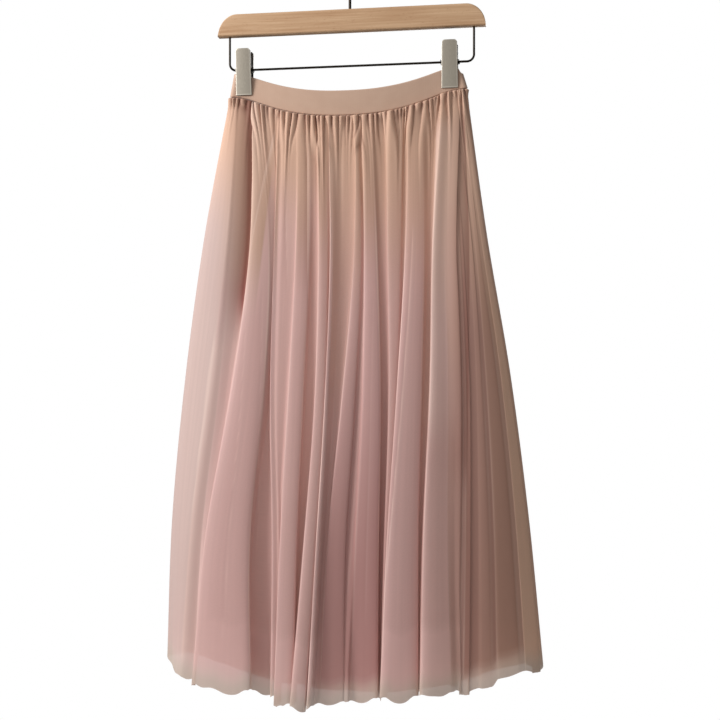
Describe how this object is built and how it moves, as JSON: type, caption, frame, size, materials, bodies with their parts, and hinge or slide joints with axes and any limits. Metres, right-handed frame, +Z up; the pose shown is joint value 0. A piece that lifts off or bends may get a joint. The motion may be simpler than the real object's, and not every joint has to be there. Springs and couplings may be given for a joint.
{
  "type": "gathered tulle midi skirt on a clip hanger",
  "caption": "Gathered tulle midi skirt with a smooth elastic waistband and an opaque lining, hung by spring clips from a wooden bar hanger with a wire hook.",
  "frame": {"origin": "inside top of the hook's crook, where a wardrobe rail carries the hanger", "axes": "X along the hanger bar, the skirt's front faces -Y, +Z up"},
  "size_m": [0.506, 0.1699, 0.9792],
  "materials": {
    "wood": "light beech under clear satin lacquer",
    "dark_wire": "blackened steel wire, slightly glossy",
    "brushed_steel": "satin, brushed along its length",
    "band": "smooth covered elastic, matte",
    "net": "fine soft tulle, see-through, faint sheen",
    "lining": "opaque woven lining, soft satin"
  },
  "bodies": {
    "root": {"hanger_bar": "wood", "hanger_hook": "dark_wire", "clip_rail": "dark_wire", "clip_left_front": "brushed_steel", "clip_left_back": "brushed_steel", "clip_left_spring": "dark_wire", "clip_right_front": "brushed_steel", "clip_right_back": "brushed_steel", "clip_right_spring": "dark_wire", "waistband": "band", "tulle_front": "net", "tulle_back": "net", "lining_front": "lining", "lining_back": "lining"}
  },
  "joints": []
}
